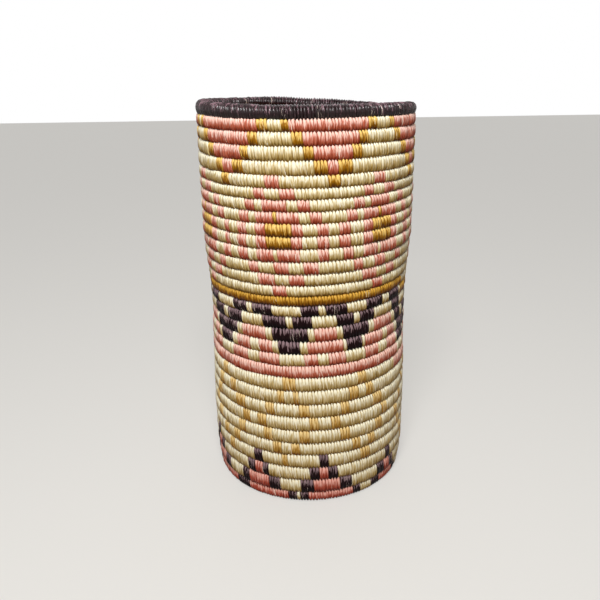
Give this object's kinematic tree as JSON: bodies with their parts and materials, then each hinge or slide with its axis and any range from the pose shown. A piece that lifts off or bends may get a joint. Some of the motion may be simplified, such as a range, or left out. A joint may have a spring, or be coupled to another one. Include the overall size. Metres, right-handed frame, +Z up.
{
  "type": "coiled basket",
  "caption": "Tall cylindrical coiled basket with a slight waist, stitched in natural, pink, ochre and aubergine sisal, with a dark bound rim.",
  "frame": {"origin": "middle of the base, on the surface that the basket stands on", "axes": "+Z up through the open mouth; the side that faces the viewer in the picture looks along -Y"},
  "size_m": [0.1396, 0.1396, 0.2581],
  "materials": {
    "natural_sisal": "undyed sisal strand, low sheen",
    "pink_sisal": "sisal strand dyed salmon pink, low sheen",
    "ochre_sisal": "sisal strand dyed ochre, low sheen",
    "aubergine_sisal": "sisal strand dyed dark aubergine, low sheen"
  },
  "bodies": {
    "root": {"base_knot": "natural_sisal", "base_coil": "natural_sisal", "course_01": "pink_sisal", "course_02": "pink_sisal", "course_03": "natural_sisal", "course_04": "natural_sisal", "course_05": "natural_sisal", "course_06": "natural_sisal", "course_07": "natural_sisal", "course_08": "natural_sisal", "course_09": "natural_sisal", "course_10": "natural_sisal", "course_11": "pink_sisal", "course_12": "pink_sisal", "course_13": "pink_sisal", "course_14": "aubergine_sisal", "course_15": "aubergine_sisal", "course_16": "aubergine_sisal", "course_17": "ochre_sisal", "course_18": "natural_sisal", "course_19": "natural_sisal", "course_20": "natural_sisal", "course_21": "natural_sisal", "course_22": "natural_sisal", "course_23": "natural_sisal", "course_24": "natural_sisal", "course_25": "natural_sisal", "course_26": "natural_sisal", "course_27": "natural_sisal", "course_28": "natural_sisal", "course_29": "natural_sisal", "course_30": "pink_sisal", "course_31": "pink_sisal", "rim_course": "aubergine_sisal"}
  },
  "joints": []
}
